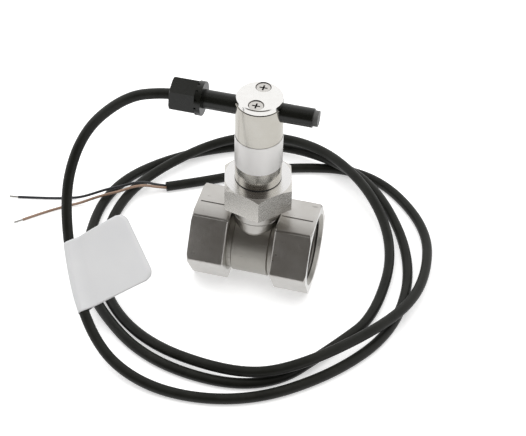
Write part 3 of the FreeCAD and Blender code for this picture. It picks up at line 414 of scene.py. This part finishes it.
MATERIALS = {
    "cast_stainless": cast_stainless(),
    "machined_steel": turned_steel("machined_steel", (0.65, 0.63, 0.595), (0.73, 0.71, 0.67), (0.25, 0.28),
                                   marks=0.05, top=(0.86, 0.85, 0.84), top_level=ADAPTER_TOP),
    "nickel_housing": turned_steel("nickel_housing", (0.56, 0.535, 0.475), (0.62, 0.60, 0.555), (0.15, 0.18),
                                   marks=0.15),
    "polished_cap": polished_cap(),
    "screw_steel": screw_steel(),
    "label_foil": label_foil(),
}
PLAIN = {
    "seal_rubber": dict(low=(0.012, 0.012, 0.012), high=(0.025, 0.025, 0.025), rough=(0.5, 0.7), scale=1200),
    "pivot_brass": dict(low=(0.62, 0.45, 0.2), high=(0.7, 0.54, 0.28), rough=(0.2, 0.35), Metallic=1.0),
    "paddle_steel": dict(low=(0.6, 0.59, 0.57), high=(0.7, 0.69, 0.67), rough=(0.25, 0.4), scale=800,
                         height=0.00002, stretch=(1, 1, 0.1), Metallic=1.0),
    "magnet": dict(low=(0.3, 0.3, 0.31), high=(0.4, 0.4, 0.41), rough=(0.25, 0.4), Metallic=1.0),
    "magnet_cup": dict(low=(0.05, 0.05, 0.05), high=(0.08, 0.08, 0.08), rough=(0.4, 0.55)),
    "black_plastic": dict(low=(0.005, 0.0055, 0.004), high=(0.009, 0.0095, 0.0075), rough=(0.26, 0.32),
                          scale=400, height=0.00001, Specular_IOR_Level=0.5),
    "plug_plastic": dict(low=(0.08, 0.08, 0.077), high=(0.11, 0.11, 0.106), rough=(0.35, 0.5), scale=1100),
    "circuit_board": dict(low=(0.02, 0.12, 0.05), high=(0.03, 0.18, 0.08), rough=(0.3, 0.4)),
    "reed_glass": dict(low=(0.8, 0.9, 0.85), high=(0.85, 0.93, 0.9), rough=(0.02, 0.05), scale=300,
                       height=0.000002, Transmission_Weight=0.9),
    "reed_metal": dict(low=(0.6, 0.58, 0.5), high=(0.7, 0.68, 0.6), rough=(0.25, 0.35), Metallic=1.0),
    "cable_jacket": dict(low=(0.008, 0.0085, 0.0065), high=(0.016, 0.0165, 0.0135), rough=(0.38, 0.5),
                         scale=1300, height=0.00006, Specular_IOR_Level=0.28),
    "core_black": dict(low=(0.022, 0.024, 0.028), high=(0.045, 0.048, 0.054), rough=(0.3, 0.45), scale=700),
    "core_brown": dict(low=(0.28, 0.18, 0.125), high=(0.40, 0.27, 0.20), rough=(0.35, 0.5), scale=700),
    "tinned_copper": dict(low=(0.5, 0.49, 0.47), high=(0.72, 0.70, 0.66), rough=(0.25, 0.4), scale=1500,
                          height=0.00012, stretch=(0.35, 1.6, 1), Metallic=1.0),
    "flag_paper": dict(low=(0.76, 0.765, 0.78), high=(0.82, 0.825, 0.83), rough=(0.35, 0.5), scale=260,
                       height=0.00002),
}
for slot_name, settings in PLAIN.items():
    MATERIALS[slot_name] = plain(slot_name, **settings)


def dress_nodes():
    """Give every CAD node the material of its slot in the record."""
    for part in frame["record"]["subparts"]:
        mesh = NODES[part["node"]].data
        mesh.materials.clear()
        mesh.materials.append(MATERIALS[part["material_slot"]])


# ---- lead, cores and flag ----

def cord_curve(name, route, radius, slot_name):
    """A round cord on the moving tube, along a smooth curve whose control points are the route."""
    data = bpy.data.curves.new(name, "CURVE")
    data.dimensions = "3D"
    data.bevel_depth = radius
    data.bevel_resolution = CORD_ROUNDNESS
    data.resolution_u = CORD_FINENESS
    data.use_fill_caps = True
    spline = data.splines.new("NURBS")
    spline.points.add(len(route) - 1)
    for point, place in zip(spline.points, route):
        point.co = (*(value * MM for value in place), 1)
    spline.order_u = CORD_ORDER
    spline.use_endpoint_u = True
    piece = bpy.data.objects.new(name, data)
    bpy.context.collection.objects.link(piece)
    data.materials.append(MATERIALS[slot_name])
    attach(piece, "reed_contact")
    return piece


def add_lead():
    """The lead and its two cores, in place of the CAD's arcs."""
    lead = cord_curve("lead", CABLE_ROUTE, CABLE_RADIUS, "cable_jacket")
    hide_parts("cable")
    black = cord_curve("black_core", BLACK_ROUTE, CORE_RADIUS, "core_black")
    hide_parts("core_black")
    brown = cord_curve("brown_core", BROWN_ROUTE, CORE_RADIUS, "core_brown")
    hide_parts("core_brown")
    return lead, black, brown


def spline_points(route, first, last):
    """Points on the lead's curve, in the spans of some of the route's points."""
    points = []
    for place in range(first, last + 1):
        before, here, after = (Vector(route[place + shift]) for shift in (-1, 0, 1))
        for step in range(SPLINE_STEPS):
            share = step / SPLINE_STEPS
            points.append(before * (1 - share) ** 2 / 2 + here * (0.5 + share - share ** 2)
                          + after * share ** 2 / 2)
    return points


def part_way(start, end, share):
    return start + share * (end - start)


def flag_layer(start, end, span, height):
    """One layer of the film between two distances from the lead, curled up in its middle."""
    for step in range(LAYER_STEPS + 1):
        place = start + (end - start) * step / LAYER_STEPS
        yield place, height + FLAG_CURL * math.sin(math.pi * (place - FLAG_JOINT) / span)


def flag_section(span):
    """Distances and heights of one row: in to the joint, round the lead, and out along the other layer."""
    wrap = CABLE_RADIUS / MM + WRAP_GAP
    contact = math.degrees(math.acos(wrap / FLAG_JOINT))
    section = list(flag_layer(span, FLAG_JOINT, span, LAYER_GAP))
    for step in range(WRAP_STEPS + 1):
        turn = math.radians(contact + (360 - 2 * contact) * step / WRAP_STEPS)
        section.append((wrap * math.cos(turn), wrap * math.sin(turn)))
    section.extend(flag_layer(FLAG_JOINT, span, span, -LAYER_GAP))
    return section


def flag_grid():
    """The flag's points in metres, row by row along the lead."""
    first = Vector(CABLE_ROUTE[FLAG_RUN])
    last = Vector(CABLE_ROUTE[FLAG_RUN + 1])
    middle = (first + last) / 2
    along = (last - first).normalized()
    across = (FLAG_LEVEL - along * FLAG_LEVEL.dot(along)).normalized()
    normal = along.cross(across)
    line = spline_points(CABLE_ROUTE, FLAG_RUN, FLAG_RUN + 1)

    def on_lead(distance):
        """The lead's point at a distance along the run from its middle."""
        for point, beyond in zip(line, line[1:]):
            low, high = ((place - middle).dot(along) for place in (point, beyond))
            if low <= distance <= high:
                return point.lerp(beyond, (distance - low) / (high - low))
        raise ValueError(f"the run does not reach {distance} mm")

    grid = []
    for row in range(FLAG_ROWS):
        share = row / (FLAG_ROWS - 1)
        base = on_lead(part_way(*FLAG_NEAR, share))
        far_along, far_across = (part_way(start, end, share) for start, end in zip(*FLAG_FAR))
        reach = middle + along * far_along + across * far_across - base
        span = reach.length
        outward = reach / span
        from_end = min(share, 1 - share) * FLAG_LENGTH
        if from_end < FLAG_ROUND:
            span -= FLAG_ROUND - math.sqrt(FLAG_ROUND ** 2 - (FLAG_ROUND - from_end) ** 2)
        grid.append([(base + outward * place + normal * height) * MM for place, height in flag_section(span)])
    return grid


def add_flag():
    """A blank film flag, wrapped round the lead a little askew and glued to itself."""
    grid = flag_grid()
    width = len(grid[0])
    corners = [row * width + column for row in range(FLAG_ROWS - 1) for column in range(width - 1)]
    faces = [(corner, corner + 1, corner + width + 1, corner + width) for corner in corners]
    mesh = bpy.data.meshes.new("blank_flag")
    mesh.from_pydata([point for row in grid for point in row], [], faces)
    for face in mesh.polygons:
        face.use_smooth = True
    mesh.materials.append(MATERIALS["flag_paper"])
    flag = bpy.data.objects.new("blank_flag", mesh)
    bpy.context.collection.objects.link(flag)
    film = flag.modifiers.new("film", "SOLIDIFY")
    film.thickness = FILM
    film.offset = 0
    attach(flag, "reed_contact")
    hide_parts("cable_flag")
    return flag


# ---- floor, world and lamp ----

def add_stage():
    """A white table top that still takes the object's shadow."""
    bpy.ops.mesh.primitive_plane_add(size=FLOOR_SIZE, location=(0, 0, 0))
    floor = bpy.context.active_object
    floor.name = "floor"
    graph = new_graph("floor")
    tone = graph.blend(graph.noise(3, 3, 0.5), (0.84, 0.84, 0.84), (0.88, 0.88, 0.88))
    graph.feed(graph.shader.inputs["Base Color"], tone)
    graph.feed(graph.shader.inputs["Roughness"], 0.9)
    table = graph.shader.outputs["BSDF"]
    ray = graph.add("ShaderNodeLightPath").outputs

    # The camera sees the table lit up a little, and polished surfaces mirror it nearly white.
    lit = graph.add("ShaderNodeAddShader")
    graph.feed(lit.inputs[0], table)
    graph.feed(lit.inputs[1], graph.glow(FLOOR_GLOW))
    seen = graph.choose(ray["Is Camera Ray"], table, lit.outputs["Shader"])
    mirrored = graph.choose(MIRRORED_WHITE, table, graph.glow(1.0))
    shiny = graph.math("MAXIMUM", ray["Is Glossy Ray"], ray["Is Transmission Ray"])
    graph.feed(graph.nodes["Material Output"].inputs["Surface"], graph.choose(shiny, seen, mirrored))
    floor.data.materials.append(graph.owner)


def add_world():
    """A white studio, less bright overhead, with the room behind the photographer's table unlit."""
    world = bpy.data.worlds.new("studio")
    bpy.context.scene.world = world
    graph = Graph(world)
    unlit = graph.add("ShaderNodeVectorMath", operation="DOT_PRODUCT")
    graph.feed(unlit.inputs[0], graph.add("ShaderNodeTexCoord").outputs["Generated"])
    unlit.inputs[1].default_value = DARK_SIDE
    overhead = graph.edge(graph.parts("Generated")[2], *OVERHEAD_EDGE)
    room = graph.blend(overhead, ROOM_ROUND, ROOM_OVERHEAD)
    light = graph.blend(graph.edge(unlit.outputs["Value"], *DARK_EDGE), room, ROOM_UNLIT)
    graph.feed(graph.nodes["Background"].inputs["Color"], light)


def add_lamp():
    """One soft lamp for the matt surfaces; the polished ones show the studio alone."""
    data = bpy.data.lights.new("overhead", "AREA")
    data.shape = "RECTANGLE"
    data.size, data.size_y = LAMP_SIZE
    data.energy = LAMP_POWER
    lamp = bpy.data.objects.new("overhead", data)
    lamp.location = LAMP_PLACE
    lamp.rotation_euler = (LAMP_TARGET - LAMP_PLACE).to_track_quat("-Z", "Y").to_euler()
    lamp.visible_glossy = False
    bpy.context.collection.objects.link(lamp)


add_camera()
dress_nodes()
lead, black, brown = add_lead()
flag = add_flag()
add_stage()
add_world()
add_lamp()
bpy.context.scene.view_settings.view_transform = "Standard"
